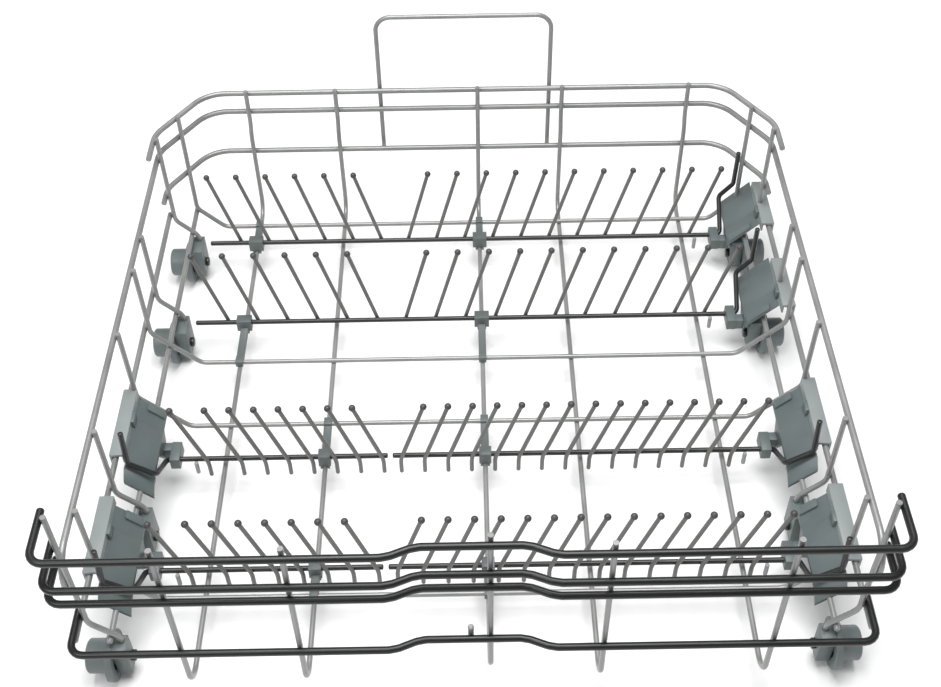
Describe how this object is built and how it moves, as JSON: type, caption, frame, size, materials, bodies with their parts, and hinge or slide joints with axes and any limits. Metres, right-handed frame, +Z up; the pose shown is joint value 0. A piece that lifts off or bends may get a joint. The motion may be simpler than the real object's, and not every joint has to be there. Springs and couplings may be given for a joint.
{
  "type": "dishwasher lower basket",
  "caption": "Lower basket of a dishwasher in coated grey wire, with folding rows of ball-tipped tines, moulded hinge brackets and rollers along both sides",
  "frame": {"origin": "middle of the footprint, on the ground under the rollers", "axes": "+X to the right seen from the front, +Y to the rear, +Z up"},
  "size_m": [0.517, 0.501, 0.2119],
  "materials": {
    "coated_wire": "silver-grey nylon coat, slight sheen",
    "front_rail_coat": "darker silver-grey nylon coat, slight sheen",
    "bar_coat": "near-black nylon coat, slight sheen",
    "tine_coat": "dark grey nylon coat, slight sheen",
    "bracket_plastic": "moulded bluish grey, matte",
    "roller_plastic": "moulded bluish grey, matte",
    "screw_plastic": "dark grey, matte"
  },
  "bodies": {
    "basket": {"rear_rim_top": "coated_wire", "rear_rim_middle": "coated_wire", "rear_rim_lower": "coated_wire", "side_top_rail_left": "coated_wire", "side_top_rail_right": "coated_wire", "side_middle_rail_left": "coated_wire", "side_middle_rail_right": "coated_wire", "ledge_rail_left": "coated_wire", "ledge_rail_right": "coated_wire", "side_wires_left": "coated_wire", "side_wires_right": "coated_wire", "floor_wire_1": "coated_wire", "floor_wire_2": "coated_wire", "floor_wire_3": "coated_wire", "floor_wire_4": "coated_wire", "floor_wire_5": "coated_wire", "cross_wire_1": "coated_wire", "cross_wire_2": "coated_wire", "cross_wire_3": "coated_wire", "cross_wire_4": "coated_wire", "rear_hoop": "coated_wire", "front_peg": "coated_wire", "front_rail_1": "front_rail_coat", "front_rail_2": "front_rail_coat", "front_rail_3": "front_rail_coat", "front_rail_4": "front_rail_coat", "hinge_bracket_1_right": "bracket_plastic", "hinge_bracket_2_right": "bracket_plastic", "hinge_bracket_3_left": "bracket_plastic", "hinge_bracket_3_right": "bracket_plastic", "hinge_bracket_4_left": "bracket_plastic", "hinge_bracket_4_right": "bracket_plastic", "bar_clips_1": "bracket_plastic", "bar_clips_2": "bracket_plastic", "bar_clips_3": "bracket_plastic", "bar_clips_4": "bracket_plastic", "roller_holders_left": "bracket_plastic", "roller_holders_right": "bracket_plastic", "axle_screws": "screw_plastic"},
    "tine_row_1": {"tine_bar_1": "bar_coat", "tines_1": "tine_coat"},
    "tine_row_2": {"tine_bar_2": "bar_coat", "tines_2": "tine_coat"},
    "tine_row_3_left": {"tine_bar_3_left": "bar_coat", "tines_3_left": "tine_coat"},
    "tine_row_3_right": {"tine_bar_3_right": "bar_coat", "tines_3_right": "tine_coat"},
    "tine_row_4_left": {"tine_bar_4_left": "bar_coat", "tines_4_left": "tine_coat"},
    "tine_row_4_right": {"tine_bar_4_right": "bar_coat", "tines_4_right": "tine_coat"},
    "roller_1_left": {"roller_1_left": "roller_plastic"},
    "roller_1_right": {"roller_1_right": "roller_plastic"},
    "roller_2_left": {"roller_2_left": "roller_plastic"},
    "roller_2_right": {"roller_2_right": "roller_plastic"},
    "roller_3_left": {"roller_3_left": "roller_plastic"},
    "roller_3_right": {"roller_3_right": "roller_plastic"},
    "roller_4_left": {"roller_4_left": "roller_plastic"},
    "roller_4_right": {"roller_4_right": "roller_plastic"}
  },
  "joints": [
    {"name": "fold_1", "type": "hinge", "parent": "basket", "child": "tine_row_1", "pos_m": [0, 0.1805, 0.0285], "axis": [1, 0, 0], "range_deg": [0, 80]},
    {"name": "fold_2", "type": "hinge", "parent": "basket", "child": "tine_row_2", "pos_m": [0, 0.0828, 0.0285], "axis": [1, 0, 0], "range_deg": [0, 80]},
    {"name": "fold_3_left", "type": "hinge", "parent": "basket", "child": "tine_row_3_left", "pos_m": [-0.145, -0.0605, 0.0285], "axis": [-1, 0, 0], "range_deg": [0, 80]},
    {"name": "fold_3_right", "type": "hinge", "parent": "basket", "child": "tine_row_3_right", "pos_m": [0.085, -0.0605, 0.0285], "axis": [-1, 0, 0], "range_deg": [0, 80]},
    {"name": "fold_4_left", "type": "hinge", "parent": "basket", "child": "tine_row_4_left", "pos_m": [-0.145, -0.1595, 0.0285], "axis": [-1, 0, 0], "range_deg": [0, 80]},
    {"name": "fold_4_right", "type": "hinge", "parent": "basket", "child": "tine_row_4_right", "pos_m": [0.085, -0.1595, 0.0285], "axis": [-1, 0, 0], "range_deg": [0, 80]},
    {"name": "turn_roller_1_left", "type": "hinge", "parent": "basket", "child": "roller_1_left", "pos_m": [-0.249, 0.169, 0.0177], "axis": [1, 0, 0], "continuous": true},
    {"name": "turn_roller_1_right", "type": "hinge", "parent": "basket", "child": "roller_1_right", "pos_m": [0.249, 0.169, 0.0177], "axis": [1, 0, 0], "continuous": true},
    {"name": "turn_roller_2_left", "type": "hinge", "parent": "basket", "child": "roller_2_left", "pos_m": [-0.249, 0.0715, 0.0177], "axis": [1, 0, 0], "continuous": true},
    {"name": "turn_roller_2_right", "type": "hinge", "parent": "basket", "child": "roller_2_right", "pos_m": [0.249, 0.0715, 0.0177], "axis": [1, 0, 0], "continuous": true},
    {"name": "turn_roller_3_left", "type": "hinge", "parent": "basket", "child": "roller_3_left", "pos_m": [-0.249, -0.1225, 0.0177], "axis": [1, 0, 0], "continuous": true},
    {"name": "turn_roller_3_right", "type": "hinge", "parent": "basket", "child": "roller_3_right", "pos_m": [0.249, -0.1225, 0.0177], "axis": [1, 0, 0], "continuous": true},
    {"name": "turn_roller_4_left", "type": "hinge", "parent": "basket", "child": "roller_4_left", "pos_m": [-0.249, -0.219, 0.0177], "axis": [1, 0, 0], "continuous": true},
    {"name": "turn_roller_4_right", "type": "hinge", "parent": "basket", "child": "roller_4_right", "pos_m": [0.249, -0.219, 0.0177], "axis": [1, 0, 0], "continuous": true}
  ]
}
